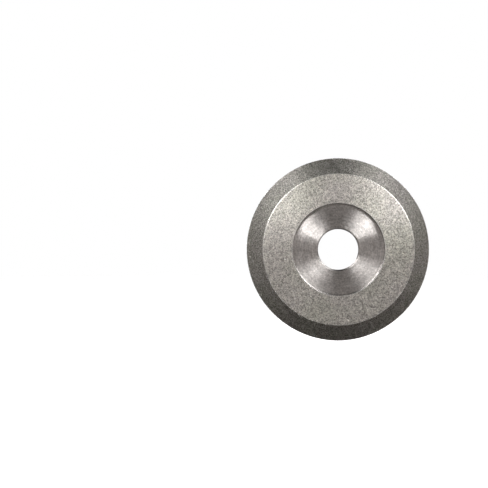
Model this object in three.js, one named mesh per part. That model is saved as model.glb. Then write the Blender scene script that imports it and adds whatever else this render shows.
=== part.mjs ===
// A dish-shaped diamond grinding wheel: a turned steel core whose rim tapers to a narrow nose,
// plated with nickel-bonded diamond on every working face.
// Millimetres, +Z up. The wheel turns about Y. Its front, the broad grinding face, looks along -Y.
import * as THREE from "three";

// Driving sizes. Depths are measured in from the end face on their own side.
const OUTER_D = 100;
const THICKNESS = 10;
const BORE_D = 22.23;
const COAT = 0.35; // depth of the diamond layer, from the core's steel to the tips of the grit

const BEVEL_ANGLE = 33; // degrees, from the end face to the bevel, the same on both sides
const FRONT_BEVEL_WIDTH = 8.75; // radial
const NOSE_WIDTH = 0.8; // the narrow land round the very edge

const FRONT_RECESS_D = 50.2;
const FRONT_RECESS_DEPTH = 2.5;
const FRONT_FILLET = 0.6; // between the recess floor and its wall
const FRONT_CHAMFER = 0.6;

const BACK_LAND_WIDTH = 4;
const BACK_WEB_DEPTH = 3.1; // at the foot of the recess wall
const BACK_WEB_FALL = 0.2; // how much deeper the web is where the hub's ramp begins
const BACK_FILLET = 1.2; // between the web and the recess wall
const BACK_HUB_D = 51;
const BACK_HUB_DEPTH = 3.6;
const BACK_RAMP_WIDTH = 2.5; // from the hub's flat up to the web
const BACK_CHAMFER = 0.3;

const FILLET_STEPS = 8;
const AROUND = 96; // facets in a full turn, a multiple of four so that the diameter is true
const SAME_POINT = 1e-6;

// The wheel's section is drawn as [radius, y], with the front end face at the lowest y.
const outerRadius = OUTER_D / 2;
const boreRadius = BORE_D / 2;
const frontFace = -THICKNESS / 2;
const backFace = THICKNESS / 2;
const slope = Math.tan(THREE.MathUtils.degToRad(BEVEL_ANGLE));

const frontFaceRadius = outerRadius - FRONT_BEVEL_WIDTH;
const noseFront = frontFace + FRONT_BEVEL_WIDTH * slope;
const noseBack = noseFront + NOSE_WIDTH;
const backLandRadius = outerRadius - (backFace - noseBack) / slope;
const backRecessRadius = backLandRadius - BACK_LAND_WIDTH;
const frontRecessRadius = FRONT_RECESS_D / 2;

// The finished outside, from the front recess round the rim to the back recess: each stretch
// between two of these corners is one plated face.
const outside = [
  [frontRecessRadius, frontFace],
  [frontFaceRadius, frontFace],
  [outerRadius, noseFront],
  [outerRadius, noseBack],
  [backLandRadius, backFace],
  [backRecessRadius, backFace],
];

// The same outside taken in by the coat's depth, which is the surface of the steel under it.
function takenIn(corners, depth) {
  const inward = (from, to) => {
    const [dr, dy] = [to[0] - from[0], to[1] - from[1]];
    const length = Math.hypot(dr, dy);
    return [-dy / length, dr / length];
  };
  return corners.map(([r, y], i) => {
    if (i === 0) return [r, y + depth];
    if (i === corners.length - 1) return [r, y - depth];
    const a = inward(corners[i - 1], corners[i]);
    const b = inward(corners[i], corners[i + 1]);
    const reach = depth / (1 + a[0] * b[0] + a[1] * b[1]);
    return [r + (a[0] + b[0]) * reach, y + (a[1] + b[1]) * reach];
  });
}

const steel = takenIn(outside, COAT);

// Points along a round stretch from one angle to another, both ends included.
function arc(centre, radius, from, to) {
  return Array.from({ length: FILLET_STEPS + 1 }, (_, i) => {
    const angle = from + ((to - from) * i) / FILLET_STEPS;
    return [centre[0] + radius * Math.cos(angle), centre[1] + radius * Math.sin(angle)];
  });
}

// From the bore out to the grinding face's inner edge: chamfer, flat clamping floor, fillet and
// wall. A recess shallower than its fillet has no wall, and the face cuts the fillet short.
function frontRecess() {
  const floor = frontFace + FRONT_RECESS_DEPTH;
  const [edgeRadius, edge] = steel[0];
  const angle = Math.acos(Math.max(0, 1 - (floor - edge) / FRONT_FILLET));
  const centre = [edgeRadius - FRONT_FILLET * Math.sin(angle), floor - FRONT_FILLET];
  return [
    [boreRadius, floor + FRONT_CHAMFER],
    [boreRadius + FRONT_CHAMFER, floor],
    ...arc(centre, FRONT_FILLET, Math.PI / 2, Math.PI / 2 - angle),
  ];
}

// From the back land down its wall, across the slightly coned web and the ramp to the hub's flat.
function backRecess() {
  const foot = backFace - BACK_WEB_DEPTH;
  const hub = backFace - BACK_HUB_DEPTH;
  const rampRadius = BACK_HUB_D / 2 + BACK_RAMP_WIDTH;
  const fillet = Math.min(BACK_FILLET, (BACK_WEB_DEPTH - COAT) * 0.95);
  const centre = [backRecessRadius - fillet, foot + fillet];
  return [
    ...arc(centre, fillet, 0, -Math.PI / 2),
    [rampRadius, foot - BACK_WEB_FALL],
    [BACK_HUB_D / 2, hub],
    [boreRadius + BACK_CHAMFER, hub],
    [boreRadius, hub - BACK_CHAMFER],
  ];
}

// A solid ring from a closed section, listed anticlockwise with radius across and y up. Where one
// stretch ends on the point that the next one starts from, that point is kept once.
function ring(name, section, material) {
  const closed = [...section, section[0]].map(([r, y]) => new THREE.Vector2(r, y));
  const points = closed.filter((point, i) => i === 0 || point.distanceTo(closed[i - 1]) > SAME_POINT);
  const mesh = new THREE.Mesh(new THREE.LatheGeometry(points, AROUND), material);
  mesh.name = name;
  return mesh;
}

function coreBody() {
  return ring("core_body", [...frontRecess(), ...steel, ...backRecess()], turnedSteel);
}

// One plated face: the band between two neighbouring corners, as deep as the coat.
function platedFace(name, from, material) {
  return ring(name, [outside[from], outside[from + 1], steel[from + 1], steel[from]], material);
}

const turnedSteel = new THREE.MeshStandardMaterial({ color: 0xb4b2ae, roughness: 0.35, metalness: 1 });
const lightGrit = new THREE.MeshStandardMaterial({ color: 0xa09e98, roughness: 0.6, metalness: 0.8 });
const darkGrit = new THREE.MeshStandardMaterial({ color: 0x6e6f6c, roughness: 0.6, metalness: 0.8 });

const wheel = new THREE.Group();
wheel.name = "diamond grinding wheel";
wheel.add(
  coreBody(),
  platedFace("front_face_abrasive", 0, lightGrit),
  platedFace("front_bevel_abrasive", 1, darkGrit),
  platedFace("rim_nose_abrasive", 2, darkGrit),
  platedFace("back_bevel_abrasive", 3, darkGrit),
  platedFace("back_land_abrasive", 4, lightGrit),
);

export default wheel;
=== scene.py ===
"""The looks of a diamond grinding wheel: a turned steel core, and a rim plated with diamond grit.

Each CAD ring is lathed again from its own section, finely and with eased corners. The plated
faces are a bed of nickel with a separate crystal for each grain of grit.
"""

import math

import bpy
import numpy as np
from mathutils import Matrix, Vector


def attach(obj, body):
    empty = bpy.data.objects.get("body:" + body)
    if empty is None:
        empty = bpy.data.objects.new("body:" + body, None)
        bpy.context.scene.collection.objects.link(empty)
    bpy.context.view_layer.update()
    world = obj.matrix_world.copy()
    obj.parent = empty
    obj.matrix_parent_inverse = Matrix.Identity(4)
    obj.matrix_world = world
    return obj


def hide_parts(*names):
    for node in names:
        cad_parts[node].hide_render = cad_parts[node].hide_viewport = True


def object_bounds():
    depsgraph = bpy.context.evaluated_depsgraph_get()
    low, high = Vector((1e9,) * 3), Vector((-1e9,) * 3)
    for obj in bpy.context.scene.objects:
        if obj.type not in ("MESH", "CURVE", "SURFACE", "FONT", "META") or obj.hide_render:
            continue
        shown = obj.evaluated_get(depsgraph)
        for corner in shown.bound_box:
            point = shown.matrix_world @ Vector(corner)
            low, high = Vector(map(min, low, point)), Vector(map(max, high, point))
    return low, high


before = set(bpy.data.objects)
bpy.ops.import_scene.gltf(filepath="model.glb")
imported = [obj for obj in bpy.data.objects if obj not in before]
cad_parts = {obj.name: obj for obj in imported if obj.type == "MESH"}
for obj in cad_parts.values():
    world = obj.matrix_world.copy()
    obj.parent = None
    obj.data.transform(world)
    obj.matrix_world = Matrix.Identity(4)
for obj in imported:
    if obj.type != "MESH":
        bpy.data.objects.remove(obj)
cad_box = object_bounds()

MM = 0.001
BODY = "root"
SEED = 7

# Plated faces, from the front recess round the rim to the back recess.
PLATED = ["front_face", "front_bevel", "rim_nose", "back_bevel", "back_land"]
FLAT_FACES = ["front_face", "back_land"]
# Painted shade: how much darker the plating of the others is painted, beside that of the flat faces.
BEVEL_PAINTED_SHADE = 0.6

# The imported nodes' points are compared to this many decimals of a metre.
DECIMALS = 7
# A point of an outline that is no further than this from the one before it is left out.
REPEATED = 1e-8

# How finely the rings are lathed, and how far from its corner the easing of a sharp one starts.
AROUND = 360
SPAN = 0.6 * MM
SHARP_TURN = math.radians(20)
EASE_STEP = math.radians(9)
FEWEST_EASE_STEPS = 3
HALF_CORNER_POINTS = 5
STEEL_EASE = 0.16 * MM
PLATED_EASE = 0.3 * MM

# A ring is painted fully lighter up to the share given last below of the width from each listed
# spot, fading out over one width more: a painted highlight, with wear as well at the plated edges.
EDGE_HIGHLIGHT_AND_WEAR_WIDTH = 0.12 * MM
RAMP_PAINTED_HIGHLIGHT_WIDTH = 1.25 * MM
FULL_HIGHLIGHT_AND_WEAR = 0.6

# The grit. Grains stand out of the nickel by GRIT_STANDS, up to the face of the CAD coat.
GRIT_STANDS = 0.13 * MM
GRAIN_PITCH = 0.5 * MM
GRAIN_RADIUS = (0.15 * MM, 0.29 * MM)
BARE_EDGE = 0.25 * MM
# How far a grain strays, as a share of the pitch. Then how far its points reach and how deep its
# middle is sunk, as shares of its radius, and the bare border of its cell in the map.
GRAIN_STRAYS = 0.42
GRAIN_REACH = (0.75, 1.2)
GRAIN_SUNK = (0.1, 0.5)
CELL_BORDER = 0.1

# The turning marks change this much as fast with y as with the radius, from this place in the
# noise, in metres.
MARKS_WITH_Y = 0.37
MARKS_START = 0.5

# The camera is level and looks along +Y, with the wheel right of the middle of its view.
VIEW_WIDTH = 266.75 * MM
WHEEL_RIGHT = 51.4 * MM
WHEEL_BELOW = 2.96 * MM
CAMERA_DISTANCE = 0.6

# Width and height of the softboxes, in metres, and the side of the wheel that one lights.
KEY_SIZE = (0.08, 0.05)
OVERHEAD_SIZE = (0.18, 0.08)
FRONT = -1
BACK = 1

# The floor, in metres: it begins to fade at the first distance and is gone at the second.
FLOOR_RADIUS = 1.5
FLOOR_FADE = (0.25, 1.4)
FLOOR_SIDES = 96


# ---------------------------------------------------------------- sections


def section(node):
    """The closed outline of a CAD ring, as [radius, y] rows, where the half-plane at +X cuts it."""
    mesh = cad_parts[node].data
    on_plane = {
        v.index: (round(v.co.x, DECIMALS), round(v.co.y, DECIMALS))
        for v in mesh.vertices
        if abs(v.co.z) < 10**-DECIMALS and v.co.x > 0
    }
    beside = {}
    for edge in mesh.edges:
        a, b = (on_plane.get(i) for i in edge.vertices)
        if a and b and a != b:
            beside.setdefault(a, set()).add(b)
            beside.setdefault(b, set()).add(a)
    outline = [min(beside)]
    while True:
        onward = [p for p in sorted(beside[outline[-1]]) if p not in outline]
        if not onward:
            return np.array(outline)
        outline.append(onward[0])


def curve(start, corner, end, t):
    """Points of a rounded corner, which leaves start towards corner and reaches end from it.

    t has the points' places along it, from 0 at start to 1 at end.
    """
    t = t[:, None]
    return start * (1 - t) ** 2 + corner * 2 * t * (1 - t) + end * t**2


def eased(outline, ease, closed=True):
    """The outline with its corners rounded off: a sharp one from at most ease before it, and the
    gentle ones of a faceted curve from half a side away, which makes the curve smooth."""
    made = [] if closed else [outline[:1]]
    last = len(outline) - 1
    for i, corner in enumerate(outline):
        if not closed and i in (0, last):
            continue
        before = outline[i - 1] - corner
        after = outline[(i + 1) % len(outline)] - corner
        lengths = np.hypot(*before), np.hypot(*after)
        turn = math.pi - math.acos(np.clip(before @ after / (lengths[0] * lengths[1]), -1, 1))
        reach = min(lengths) / 2
        if turn > SHARP_TURN:
            reach = min(reach, ease)
        start = corner + before / lengths[0] * reach
        end = corner + after / lengths[1] * reach
        steps = max(FEWEST_EASE_STEPS, math.ceil(turn / EASE_STEP))
        made.append(curve(start, corner, end, np.linspace(0, 1, steps + 1)))
    if not closed:
        made.append(outline[-1:])
    return without_repeats(np.concatenate(made))


def half_corner(other, corner, side):
    """A rounded corner from where it begins on the side towards side, to its middle."""
    to_side, to_other = side - corner, other - corner
    lengths = np.hypot(*to_side), np.hypot(*to_other)
    reach = min(PLATED_EASE, lengths[0] / 2, lengths[1] / 2)
    start = corner + to_side / lengths[0] * reach
    end = corner + to_other / lengths[1] * reach
    return curve(start, corner, end, np.linspace(0, 0.5, HALF_CORNER_POINTS))


def without_repeats(outline):
    gaps = np.hypot(*(outline - np.roll(outline, 1, axis=0)).T)
    return outline[gaps > REPEATED]


def spanned(outline):
    """The closed outline with points added along its long stretches."""
    made = []
    for start, end in zip(outline, np.roll(outline, -1, axis=0)):
        parts = max(1, math.ceil(np.hypot(*(end - start)) / SPAN))
        made.append(start + (end - start) * np.arange(parts)[:, None] / parts)
    return np.concatenate(made)


def plated_corners():
    """The corners of the coat's face and of the steel under it, from front to back, in pairs."""
    steel = {tuple(p) for p in section("core_body")}
    outlines = [section(f"{name}_abrasive") for name in PLATED]
    tips, roots = [], []
    for i, outline in enumerate(outlines):
        nearby = outlines[i + 1] if i + 1 < len(outlines) else outlines[i - 1]
        shared = {tuple(p) for p in nearby}
        towards_end = i + 1 < len(outlines)
        for found, wanted in ((tips, False), (roots, True)):
            pair = [tuple(p) for p in outline if (tuple(p) in steel) == wanted]
            pair.sort(key=lambda p: (p in shared) == towards_end)
            found.extend(pair if i == 0 else pair[1:])
    return np.array(tips), np.array(roots)


# ---------------------------------------------------------------- meshes


def place(radius, y, angle):
    """Points from their distance to the wheel's axis, their y and their angle round the axis."""
    x, z = radius * np.cos(angle), radius * np.sin(angle)
    return np.stack(np.broadcast_arrays(x, y, z), axis=-1)


def mesh_piece(name, points, faces, uv, smooth):
    """A piece that rides on the wheel. uv has a row for each corner of each face, in order."""
    mesh = bpy.data.meshes.new(name)
    mesh.from_pydata(points.tolist(), [], faces.tolist())
    mesh.polygons.foreach_set("use_smooth", [smooth] * len(mesh.polygons))
    mesh.uv_layers.new(name="OFBake").uv.foreach_set("vector", uv.astype(np.float32).ravel())
    mesh.update()
    piece = bpy.data.objects.new(name, mesh)
    bpy.context.scene.collection.objects.link(piece)
    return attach(piece, BODY)


def lathe(name, outline, wear_and_painted_highlight, width):
    """A closed ring. Its map runs once round the wheel in u, and round the section in v.

    It is painted lighter within about width of each point of the section listed for it: a painted
    highlight, with wear as well at the plated edges.
    """
    count = len(outline)
    following = np.roll(outline, -1, axis=0)
    area = np.sum(outline[:, 0] * following[:, 1] - outline[:, 1] * following[:, 0])
    if area < 0:
        outline = outline[::-1]
    angle = np.arange(AROUND) * math.tau / AROUND
    points = place(outline[:, 0], outline[:, 1], angle[:, None])
    turn, step = (g.ravel() for g in np.meshgrid(np.arange(AROUND), np.arange(count), indexing="ij"))
    next_turn, next_step = (turn + 1) % AROUND, (step + 1) % count
    faces = np.stack(
        [
            turn * count + step,
            turn * count + next_step,
            next_turn * count + next_step,
            next_turn * count + step,
        ],
        axis=1,
    )
    sides = np.hypot(*(np.roll(outline, -1, axis=0) - outline).T)
    along = np.concatenate([[0], np.cumsum(sides)]) / sides.sum()
    u = np.stack([turn, turn, turn + 1, turn + 1], axis=1) / AROUND
    v = np.stack([along[step], along[step + 1], along[step + 1], along[step]], axis=1)
    ring = mesh_piece(name, points.reshape(-1, 3), faces, np.stack([u, v], axis=-1), smooth=True)
    # How much lighter each point of the section is painted: a painted highlight, with wear at plated
    # edges.
    highlight_and_wear_amount = np.zeros(count)
    for spot in wear_and_painted_highlight:
        away = np.hypot(*(outline - spot).T)
        highlight_and_wear_amount = np.maximum(highlight_and_wear_amount, np.clip(1 + FULL_HIGHLIGHT_AND_WEAR - away / width, 0, 1))
    attribute = ring.data.attributes.new("wear_and_painted_highlight", "FLOAT", "POINT")
    attribute.data.foreach_set("value", np.tile(highlight_and_wear_amount, AROUND))
    return ring


# An octahedron, and where its faces lie when it is opened out flat in a square.
OCTAHEDRON = np.array([[1, 0, 0], [0, 1, 0], [-1, 0, 0], [0, -1, 0], [0, 0, 1], [0, 0, -1]], float)
OCTAHEDRON_FACES = np.array(
    [[i, (i + 1) % 4, 4] for i in range(4)]
    + [[(i + 1) % 4, i, 5] for i in range(4)]
)
MIDDLES = np.array([[1, 0.5], [0.5, 1], [0, 0.5], [0.5, 0]])
CORNERS = np.array([[1, 1], [0, 1], [0, 0], [1, 0]])
OPENED_OUT = np.array(
    [[MIDDLES[i], MIDDLES[(i + 1) % 4], [0.5, 0.5]] for i in range(4)]
    + [[MIDDLES[(i + 1) % 4], MIDDLES[i], CORNERS[i]] for i in range(4)]
)


def random_turns(rng, count):
    """Rotation matrices spread evenly over all directions."""
    q = rng.normal(size=(count, 4))
    w, x, y, z = (q / np.linalg.norm(q, axis=1, keepdims=True)).T
    rows = [
        [1 - 2 * (y * y + z * z), 2 * (x * y - z * w), 2 * (x * z + y * w)],
        [2 * (x * y + z * w), 1 - 2 * (x * x + z * z), 2 * (y * z - x * w)],
        [2 * (x * z - y * w), 2 * (y * z + x * w), 1 - 2 * (x * x + y * y)],
    ]
    return np.moveaxis(np.array(rows), 2, 0)


def scattered(start, end, rng):
    """Places for grains on a plated face: their distances along it from start, and their angles.

    They stray at random from even rows round the wheel.
    """
    length = np.hypot(*(end - start))
    gritted = length - 2 * BARE_EDGE
    rows = max(1, round(gritted / GRAIN_PITCH))
    along, angle = [], []
    for at in BARE_EDGE + (np.arange(rows) + 0.5) * gritted / rows:
        radius = start[0] + (end[0] - start[0]) * at / length
        count = round(math.tau * radius / GRAIN_PITCH)
        jitter = rng.uniform(-GRAIN_STRAYS, GRAIN_STRAYS, (2, count))
        along.append(at + jitter[0] * GRAIN_PITCH)
        angle.append((np.arange(count) + jitter[1] + rng.uniform()) * math.tau / count)
    return np.concatenate(along), np.concatenate(angle)


def grit(name, start, end, outward, rng):
    """The grains on one plated face, whose nickel runs from start to end along the section.

    Each is a crystal of its own, sunk in the nickel, and none stands above the coat's face.
    """
    along, angle = scattered(start, end, rng)
    count, points_each = len(along), len(OCTAHEDRON)
    size = rng.uniform(*GRAIN_RADIUS, count)[:, None, None]
    shape = OCTAHEDRON * rng.uniform(*GRAIN_REACH, (count, points_each, 1)) * size
    shape = shape @ random_turns(rng, count)
    sunk = rng.uniform(*GRAIN_SUNK, count) * size[:, 0, 0]
    height = np.minimum(shape[:, :, 2] - sunk[:, None], GRIT_STANDS)

    length = np.hypot(*(end - start))
    middle = start + (end - start) * (along / length)[:, None]
    on_section = (
        middle[:, None, :]
        + shape[:, :, 0:1] * (end - start) / length
        + height[:, :, None] * outward
    )
    round_wheel = angle[:, None] + shape[:, :, 1] / middle[:, 0:1]
    points = place(on_section[:, :, 0], on_section[:, :, 1], round_wheel).reshape(-1, 3)
    faces = (OCTAHEDRON_FACES + points_each * np.arange(count)[:, None, None]).reshape(-1, 3)

    # In the map each grain has a cell of its own in a square grid.
    cells = math.ceil(math.sqrt(count))
    cell = np.stack([np.arange(count) % cells, np.arange(count) // cells], axis=1)
    uv = (cell[:, None, None, :] + CELL_BORDER + (1 - 2 * CELL_BORDER) * OPENED_OUT) / cells
    return mesh_piece(name, points, faces, uv.reshape(-1, 2), smooth=False)


# ---------------------------------------------------------------- shader nodes


def feed(tree, node, inputs):
    """Link each input that is given as another node's output, and set any other."""
    for name, value in inputs.items():
        if isinstance(value, bpy.types.NodeSocket):
            tree.links.new(value, node.inputs[name])
        else:
            node.inputs[name].default_value = value


def add(tree, kind, inputs=None, **properties):
    """A new node, with its properties set and its inputs fed."""
    node = tree.nodes.new(kind)
    for name, value in properties.items():
        setattr(node, name, value)
    feed(tree, node, inputs or {})
    return node


def maths(tree, operation, a, b=0.0, c=0.0):
    return add(tree, "ShaderNodeMath", {0: a, 1: b, 2: c}, operation=operation).outputs[0]


def vector_maths(tree, operation, a, b=(0, 0, 0), output="Vector"):
    return add(tree, "ShaderNodeVectorMath", {0: a, 1: b}, operation=operation).outputs[output]


def scaled(tree, vector, factor):
    node = add(tree, "ShaderNodeVectorMath", {0: vector, "Scale": factor}, operation="SCALE")
    return node.outputs["Vector"]


def mixed(tree, factor, a, b):
    """Colour a, giving way to b as factor rises. The node's colour sockets come after its others."""
    inputs = {0: factor, 6: a, 7: b}
    return add(tree, "ShaderNodeMix", inputs, data_type="RGBA").outputs[2]


def mixed_shader(tree, factor, a, b):
    return add(tree, "ShaderNodeMixShader", {0: factor, 1: a, 2: b}).outputs[0]


def ramp(tree, value, *stops):
    """A colour ramp from (position, colour) stops."""
    node = add(tree, "ShaderNodeValToRGB", {"Fac": value})
    elements = node.color_ramp.elements
    while len(elements) < len(stops):
        elements.new(0.5)
    for element, (position, colour) in zip(elements, stops):
        element.position = position
        element.color = (*colour, 1)
    return node.outputs["Color"]


def ranged(tree, value, low, high, start=0.3, end=0.7, **properties):
    """value, with start to end spread over low to high."""
    inputs = {"Value": value, "From Min": start, "From Max": end, "To Min": low, "To Max": high}
    return add(tree, "ShaderNodeMapRange", inputs, **properties).outputs[0]


def bumped(tree, height, strength, depth, **inputs):
    """The normal of a surface that height raises by up to depth."""
    inputs = {"Height": height, "Strength": strength, "Distance": depth, **inputs}
    return add(tree, "ShaderNodeBump", inputs).outputs[0]


def noise(tree, size, detail=3):
    """Even noise with features of about the given size."""
    here = add(tree, "ShaderNodeTexCoord").outputs["Object"]
    inputs = {"Vector": here, "Scale": 1 / size, "Detail": detail}
    return add(tree, "ShaderNodeTexNoise", inputs).outputs["Fac"]


def round_the_axis(tree):
    """(direction outwards from the wheel's axis, distance from it, y) at each point."""
    here = add(tree, "ShaderNodeTexCoord").outputs["Object"]
    flat = vector_maths(tree, "MULTIPLY", here, (1, 0, 1))
    outward = vector_maths(tree, "NORMALIZE", flat)
    radius = vector_maths(tree, "LENGTH", flat, output="Value")
    y = add(tree, "ShaderNodeSeparateXYZ", {0: here}).outputs["Y"]
    return outward, radius, y


def round_the_axis_tangent(tree):
    return add(tree, "ShaderNodeTangent", direction_type="RADIAL", axis="Y").outputs[0]


def steepness(tree):
    """From 0 where the surface faces along the wheel's axis to 1 where it faces across it."""
    outward = round_the_axis(tree)[0]
    normal = add(tree, "ShaderNodeTexCoord").outputs["Normal"]
    return maths(tree, "ABSOLUTE", vector_maths(tree, "DOT_PRODUCT", normal, outward, output="Value"))


def painted_highlight_and_wear(tree):
    """From 0 to 1, how much lighter the ring is painted there, as lathe() left it: a painted
    highlight, with wear as well at the plated edges.
    """
    return add(tree, "ShaderNodeAttribute", attribute_name="wear_and_painted_highlight").outputs["Fac"]


def turning_marks(tree, pitch, length, detail):
    """Noise drawn out round the wheel, as a lathe tool leaves it: pitch apart, length radians long.

    It changes with the radius, and more slowly with y, so that the bore has marks too.
    """
    outward, radius, y = round_the_axis(tree)
    with_y = maths(tree, "MULTIPLY_ADD", y, MARKS_WITH_Y, MARKS_START)
    with_radius = maths(tree, "MULTIPLY", radius, 1 / pitch)
    across = maths(tree, "ADD", with_radius, maths(tree, "MULTIPLY", with_y, 1 / pitch))
    drawn = add(tree, "ShaderNodeSeparateXYZ", {0: scaled(tree, outward, 1 / length)}).outputs
    where = add(tree, "ShaderNodeCombineXYZ", {"X": drawn["X"], "Y": across, "Z": drawn["Z"]})
    inputs = {"Vector": where.outputs[0], "Scale": 1, "Detail": detail, "Roughness": 0.6}
    return add(tree, "ShaderNodeTexNoise", inputs).outputs["Fac"]


# ---------------------------------------------------------------- materials


def new_material(name, settings):
    """A material with its Principled shader's fixed values set."""
    material = bpy.data.materials.new(name)
    material.use_nodes = True
    tree = material.node_tree
    principled = tree.nodes["Principled BSDF"]
    feed(tree, principled, settings)
    return material, tree, principled


def toned(colour, painted_shade_factor):
    return tuple(c * painted_shade_factor for c in colour)


def turned_steel():
    """Bright steel with the tool's fine rings, which spread every reflection out along the radius.

    Slight unevenness across the rings breaks the reflections up into a fine mottle. The bore and
    the steep walls are painted darker than the flats as painted shade, and the ramp round the back's
    hub is painted lighter as a painted highlight.
    """
    settings = {"Metallic": 1, "Anisotropic": 1, "Anisotropic Rotation": 0.25}
    material, tree, principled = new_material("turned_steel", settings)
    fine = turning_marks(tree, pitch=0.25 * MM, length=0.5, detail=3)
    broad = turning_marks(tree, pitch=1.2 * MM, length=0.35, detail=4)
    speckle = noise(tree, 0.9 * MM)
    patches = noise(tree, 4 * MM)
    marks = maths(tree, "ADD", maths(tree, "MULTIPLY", fine, 0.5), maths(tree, "MULTIPLY", broad, 0.5))
    colour = ramp(tree, marks, (0.35, (0.46, 0.43, 0.41)), (0.65, (0.74, 0.71, 0.69)))
    colour = scaled(tree, colour, ranged(tree, speckle, 0.75, 1.25))
    colour = scaled(tree, colour, ranged(tree, patches, 0.85, 1.15))
    # Painted highlight: the ramp round the back's hub is lighter.
    colour = scaled(tree, colour, ranged(tree, painted_highlight_and_wear(tree), 1, 1.2, start=0, end=1))
    # Painted shade: steep faces, such as the bore and the recess walls, are darker.
    colour = scaled(tree, colour, ranged(tree, steepness(tree), 1, 0.6, start=0.62, end=0.8))
    uneven = maths(tree, "ADD", speckle, maths(tree, "MULTIPLY", patches, 2.5))
    rings = bumped(tree, fine, 0.4, 0.01 * MM)
    surface = {
        "Base Color": colour,
        "Roughness": ranged(tree, broad, 0.33, 0.39),
        "Normal": bumped(tree, uneven, 1, 0.04 * MM, Normal=rings),
        "Tangent": round_the_axis_tangent(tree),
    }
    feed(tree, principled, surface)
    return material


def plating_tint(tree, colour):
    """colour in fine clusters of light and dark, and drifting between straw and plum."""
    clusters = noise(tree, 0.75 * MM)
    drift = noise(tree, 22 * MM, detail=2)
    tint = ramp(tree, drift, (0.35, (1.02, 0.98, 0.97)), (0.65, (1.0, 0.99, 0.93)))
    tinted = vector_maths(tree, "MULTIPLY", colour, tint)
    return scaled(tree, tinted, ranged(tree, clusters, 0.55, 1.6, start=0.34, end=0.74))


def nickel(name, painted_shade_factor):
    """The electroplated bed between the grains: grey, pimpled, and lighter and smoother at the
    edges, partly from wear and partly as a painted highlight.
    """
    settings = {"Metallic": 1, "Anisotropic": 0.4, "Anisotropic Rotation": 0.25}
    material, tree, principled = new_material(name, settings)
    pimples = noise(tree, 0.2 * MM)
    grey = ramp(
        tree,
        pimples,
        (0.35, toned((0.40, 0.395, 0.375), painted_shade_factor)),
        (0.65, toned((0.62, 0.61, 0.58), painted_shade_factor)),
    )
    wear_and_painted_highlight = painted_highlight_and_wear(tree)
    rough = ranged(tree, pimples, 0.32, 0.46)
    surface = {
        # Wear and painted highlight: the nickel is lighter and smoother at the edges.
        "Base Color": mixed(tree, wear_and_painted_highlight, plating_tint(tree, grey), (0.78, 0.77, 0.75, 1)),
        "Roughness": maths(tree, "MULTIPLY", rough, ranged(tree, wear_and_painted_highlight, 1, 0.6, start=0, end=1)),
        "Normal": bumped(tree, pimples, 0.8, 0.05 * MM),
        "Tangent": round_the_axis_tangent(tree),
    }
    feed(tree, principled, surface)
    return material


def diamond(name, painted_shade_factor):
    """The grains: hard, bright facets, each grain of its own tone from smoke to pale straw, and the
    palest few white as painted glints.
    """
    material, tree, principled = new_material(name, {"Metallic": 0.45, "Roughness": 0.22, "IOR": 2.4})
    each = add(tree, "ShaderNodeNewGeometry").outputs["Random Per Island"]
    colour = ramp(
        tree,
        each,
        (0.0, toned((0.09, 0.086, 0.08), painted_shade_factor)),
        (0.4, toned((0.33, 0.32, 0.30), painted_shade_factor)),
        (0.8, toned((0.60, 0.585, 0.55), painted_shade_factor)),
        # Painted glints: the palest grains, which the painted shade of the bevels leaves as bright.
        (0.95, (0.98, 0.96, 0.92)),
    )
    feed(tree, principled, {"Base Color": plating_tint(tree, colour)})
    return material


# ---------------------------------------------------------------- the wheel


def wear(piece, material):
    piece.data.materials.append(material)


def ramp_middle(outline):
    """The middle of the ramp between the hub's flat and the web, on the core's back.

    Outwards from the bore, the ramp's two ends come next after the two of the bore's chamfer.
    """
    back = sorted(tuple(p) for p in outline if p[1] > 0)
    hub_edge, web_edge = np.array(back[2:4])
    return (hub_edge + web_edge) / 2


def build_core(material):
    outline = section("core_body")
    # The ramp round the back's hub gets a painted highlight.
    ramp_highlight_spot = ramp_middle(outline)
    outline = spanned(eased(outline, STEEL_EASE))
    core = lathe("turned_core", outline, wear_and_painted_highlight=(ramp_highlight_spot,), width=RAMP_PAINTED_HIGHLIGHT_WIDTH)
    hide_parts("core_body")
    wear(core, material)


def build_plating(light, dark):
    """One rounded face of nickel round the whole rim, parted at the corners, with its grit.

    light and dark are (nickel, grain) materials: the flat faces wear the first, the rest the other,
    which is the same plating painted darker as painted shade.
    """
    rng = np.random.default_rng(SEED)
    tips, roots = plated_corners()
    coat = abs(tips[0, 1] - roots[0, 1])
    bed = tips + (roots - tips) * GRIT_STANDS / coat
    for i, name in enumerate(PLATED):
        start, end = bed[i], bed[i + 1]
        if i == 0:
            opening = eased(np.array([roots[0], start, end]), PLATED_EASE, closed=False)[:-1]
        else:
            opening = half_corner(bed[i - 1], start, end)[::-1]
        if i + 2 == len(bed):
            closing = eased(np.array([start, end, roots[-1]]), PLATED_EASE, closed=False)[1:]
        else:
            closing = half_corner(bed[i + 2], end, start)
        face = np.concatenate([opening, closing, roots[i + 1 : i + 2], roots[i : i + 1]])
        outline = spanned(without_repeats(face))
        # Each face's edges are painted lighter: wear and a painted highlight.
        ring = lathe(f"{name}_bond", outline, wear_and_painted_highlight=(start, end), width=EDGE_HIGHLIGHT_AND_WEAR_WIDTH)
        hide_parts(f"{name}_abrasive")
        bond, grain = light if name in FLAT_FACES else dark
        wear(ring, bond)
        forward = (end - start) / np.hypot(*(end - start))
        outward = np.array([forward[1], -forward[0]])
        wear(grit(f"{name}_grit", start, end, outward, rng), grain)


# ---------------------------------------------------------------- studio


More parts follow.
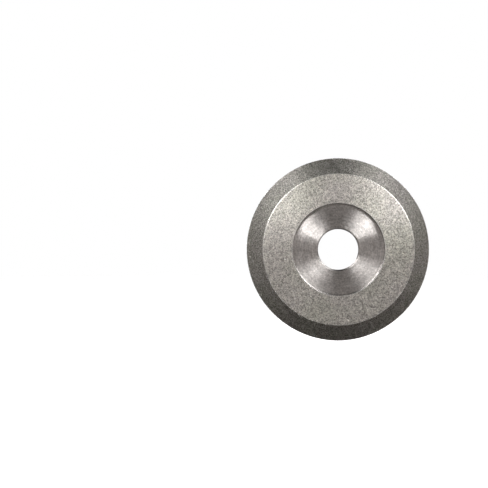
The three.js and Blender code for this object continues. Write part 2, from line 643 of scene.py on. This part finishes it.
def softbox(name, side, azimuth, tilt, distance, size, power):
    """A rectangular light aimed at the wheel, on its front where side is FRONT, else on its back.

    azimuth turns from the right of a viewer on that side towards the top, and tilt is away from
    the wheel's axis, both in degrees.
    """
    light = bpy.data.lights.new(name, "AREA")
    light.shape = "RECTANGLE"
    light.size, light.size_y = size
    light.energy = power
    lamp = bpy.data.objects.new(name, light)
    azimuth, tilt = math.radians(azimuth), math.radians(tilt)
    across, up = math.sin(tilt) * math.cos(azimuth), math.sin(tilt) * math.sin(azimuth)
    towards = Vector((-side * across, side * math.cos(tilt), up))
    lamp.location = towards * distance
    lamp.rotation_mode = "QUATERNION"
    lamp.rotation_quaternion = towards.to_track_quat("Z", "Y")
    lamp.visible_camera = False
    bpy.context.scene.collection.objects.link(lamp)


def light_the_wheel():
    """Near softboxes to the upper right and left of each side, with a wider pair above it.

    The back has a lower pair as well, which brightens the lower half of its web.
    """
    front_key = {"side": FRONT, "distance": 0.15, "size": KEY_SIZE}
    softbox("front_key_right", azimuth=37, tilt=46, power=0.11, **front_key)
    softbox("front_key_left", azimuth=141, tilt=42, power=0.11, **front_key)
    front_overhead = {"side": FRONT, "tilt": 72, "distance": 0.3, "size": OVERHEAD_SIZE}
    softbox("front_overhead_right", azimuth=60, power=0.1, **front_overhead)
    softbox("front_overhead_left", azimuth=122, power=0.11, **front_overhead)
    back_key = {"side": BACK, "tilt": 41, "distance": 0.19, "size": KEY_SIZE}
    softbox("back_key_right", azimuth=45, power=0.13, **back_key)
    softbox("back_key_left", azimuth=135, power=0.12, **back_key)
    back_low = {"side": BACK, "tilt": 40, "distance": 0.25, "size": KEY_SIZE}
    softbox("back_low_right", azimuth=305, power=0.06, **back_low)
    softbox("back_low_left", azimuth=230, power=0.06, **back_low)
    back_overhead = {"side": BACK, "tilt": 72, "distance": 0.3, "size": OVERHEAD_SIZE}
    softbox("back_overhead_right", azimuth=60, power=0.09, **back_overhead)
    softbox("back_overhead_left", azimuth=125, power=0.12, **back_overhead)


def surroundings():
    """White to the camera. To the wheel it is a room that is brightest all round at the wheel's own
    level, darker and browner below that, and almost black above."""
    world = bpy.data.worlds.new("studio")
    world.use_nodes = True
    tree = world.node_tree
    tree.nodes.clear()
    direction = add(tree, "ShaderNodeTexCoord").outputs["Generated"]
    height = add(tree, "ShaderNodeSeparateXYZ", {0: direction}).outputs["Z"]
    level = maths(tree, "MULTIPLY_ADD", height, 0.5, 0.5)
    room = ramp(
        tree,
        level,
        (0.0, (0.05, 0.045, 0.04)),
        (0.24, (0.17, 0.16, 0.15)),
        (0.35, (0.38, 0.36, 0.35)),
        (0.65, (0.38, 0.36, 0.35)),
        (0.75, (0.04, 0.04, 0.04)),
    )
    seen = add(tree, "ShaderNodeLightPath").outputs["Is Camera Ray"]
    lit = add(tree, "ShaderNodeBackground", {"Color": room, "Strength": 1}).outputs[0]
    white = add(tree, "ShaderNodeBackground", {"Color": (1, 1, 1, 1), "Strength": 1}).outputs[0]
    add(tree, "ShaderNodeOutputWorld", {"Surface": mixed_shader(tree, seen, lit, white)})
    bpy.context.scene.world = world


def floor():
    """A pale round floor under the rim, which fades into the white backdrop.

    It glows to the camera alone, and neither shades the wheel nor is reflected in it.
    """
    bpy.ops.mesh.primitive_circle_add(vertices=FLOOR_SIDES, radius=FLOOR_RADIUS, fill_type="NGON")
    ground = bpy.context.object
    ground.name = "floor"
    ground.location.z = cad_box[0].z
    ground.visible_shadow = ground.visible_glossy = ground.visible_diffuse = False
    settings = {"Roughness": 0.9, "Base Color": (0.8, 0.8, 0.79, 1)}
    material, tree, principled = new_material("pale_floor", settings)
    here = add(tree, "ShaderNodeTexCoord").outputs["Object"]
    away = vector_maths(tree, "LENGTH", here, output="Value")
    near, far = FLOOR_FADE
    fade = ranged(tree, away, 0, 1, start=near, end=far, interpolation_type="SMOOTHSTEP")
    seen = add(tree, "ShaderNodeLightPath").outputs["Is Camera Ray"]
    dark = add(tree, "ShaderNodeEmission", {"Strength": 0}).outputs[0]
    glow = add(tree, "ShaderNodeEmission", {"Color": (1, 1, 1, 1), "Strength": 1}).outputs[0]
    self_lit = mixed_shader(tree, seen, dark, glow)
    surface = add(tree, "ShaderNodeAddShader", {0: principled.outputs[0], 1: self_lit}).outputs[0]
    clear = add(tree, "ShaderNodeBsdfTransparent").outputs[0]
    shown = mixed_shader(tree, fade, surface, clear)
    feed(tree, tree.nodes["Material Output"], {"Surface": shown})
    ground.data.materials.append(material)


def camera():
    data = bpy.data.cameras.new("camera")
    data.lens = data.sensor_width * CAMERA_DISTANCE / VIEW_WIDTH
    seat = bpy.data.objects.new("camera", data)
    seat.location = (-WHEEL_RIGHT, -CAMERA_DISTANCE, WHEEL_BELOW)
    seat.rotation_euler = (math.pi / 2, 0, 0)
    bpy.context.scene.collection.objects.link(seat)
    bpy.context.scene.camera = seat


camera()
build_core(turned_steel())
build_plating(
    light=(nickel("nickel", 1), diamond("diamond", 1)),
    # The bevels and nose wear copies of the plating painted darker: painted shade.
    dark=(nickel("nickel_painted_shade", BEVEL_PAINTED_SHADE), diamond("diamond_painted_shade", BEVEL_PAINTED_SHADE)),
)
light_the_wheel()
surroundings()
floor()
bpy.context.scene.view_settings.view_transform = "Standard"
